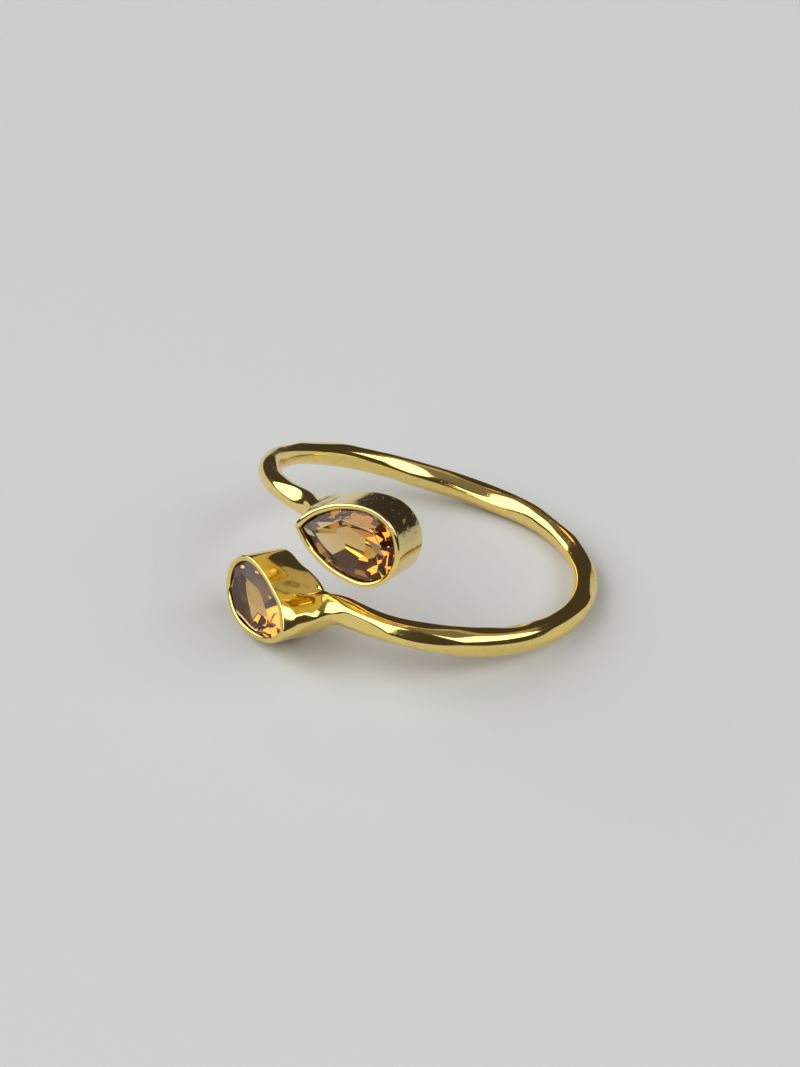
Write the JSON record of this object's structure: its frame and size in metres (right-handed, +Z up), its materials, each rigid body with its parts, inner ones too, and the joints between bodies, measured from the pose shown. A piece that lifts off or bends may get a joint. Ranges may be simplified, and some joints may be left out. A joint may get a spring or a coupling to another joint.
{
  "type": "wrap ring",
  "caption": "Open wrap ring of forged round wire in gold colour, whose ends pass each other and carry pear-shaped citrine stones in bezel cups.",
  "frame": {"origin": "middle of the ring's outline seen from above, on the surface that it lies on", "axes": "+Z up as the ring lies on its side; the two stones face -Y, between straight on and the left"},
  "size_m": [0.021, 0.0216, 0.0105],
  "materials": {
    "gold_plate": "polished yellow gold plate over forged brass, with fine scratches, small pits and soft hammer marks",
    "citrine": "clear honey-brown citrine, faceted and polished"
  },
  "bodies": {
    "root": {"band_and_cups": "gold_plate", "upper_stone": "citrine", "lower_stone": "citrine"}
  },
  "joints": []
}
